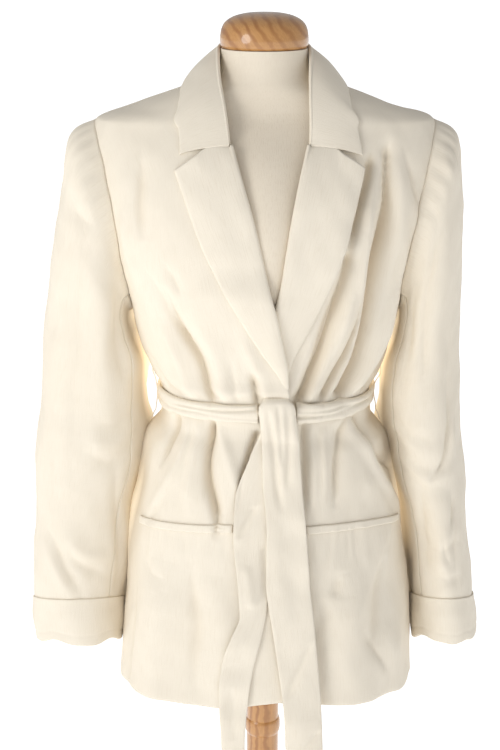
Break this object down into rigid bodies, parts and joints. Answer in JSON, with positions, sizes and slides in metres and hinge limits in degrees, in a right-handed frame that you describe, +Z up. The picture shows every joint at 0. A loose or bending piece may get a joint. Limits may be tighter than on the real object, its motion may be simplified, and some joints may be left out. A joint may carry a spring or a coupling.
{
  "type": "belted blazer on a limbless dress form",
  "caption": "Long-sleeved blazer with notched lapels, welt pockets, turned-up cuffs and a tied sash belt, resting on a limbless dress form on a round-footed stand.",
  "frame": {"origin": "centre of the underside of the stand's round base", "axes": "+Z up along the rod; the blazer's front faces -Y and the wearer's left is +X"},
  "size_m": [0.5916, 0.36, 1.5535],
  "materials": {
    "ivory_cloth": "matt ivory crepe weave with fine slubs",
    "form_linen": "fine plain-weave natural linen, stretched smooth",
    "varnished_pine": "honey-orange pine under gloss varnish",
    "polished_steel": "polished plated steel tube"
  },
  "bodies": {
    "stand": {"stand_base": "varnished_pine", "stand_pole": "varnished_pine"},
    "rod": {"stand_rod": "polished_steel"},
    "bust": {"form_torso": "form_linen", "form_cap": "varnished_pine", "back": "ivory_cloth", "front_left": "ivory_cloth", "front_right": "ivory_cloth", "lapel_left": "ivory_cloth", "lapel_right": "ivory_cloth", "collar_stand": "ivory_cloth", "collar_fall": "ivory_cloth", "sleeve_left_upper": "ivory_cloth", "sleeve_left_under": "ivory_cloth", "sleeve_right_upper": "ivory_cloth", "sleeve_right_under": "ivory_cloth", "cuff_left": "ivory_cloth", "cuff_right": "ivory_cloth", "pocket_welt_left": "ivory_cloth", "pocket_welt_right": "ivory_cloth", "belt_wrap": "ivory_cloth", "belt_knot": "ivory_cloth", "belt_tail_over": "ivory_cloth", "belt_tail_under": "ivory_cloth", "belt_loop_left": "ivory_cloth", "belt_loop_right": "ivory_cloth"}
  },
  "joints": [
    {"name": "height_slide", "type": "slide", "parent": "stand", "child": "rod", "axis": [0, 0, 1], "range_m": [-0.08, 0.12]},
    {"name": "bust_turn", "type": "hinge", "parent": "rod", "child": "bust", "pos_m": [0, 0, 0.78], "axis": [0, 0, 1], "continuous": true}
  ]
}
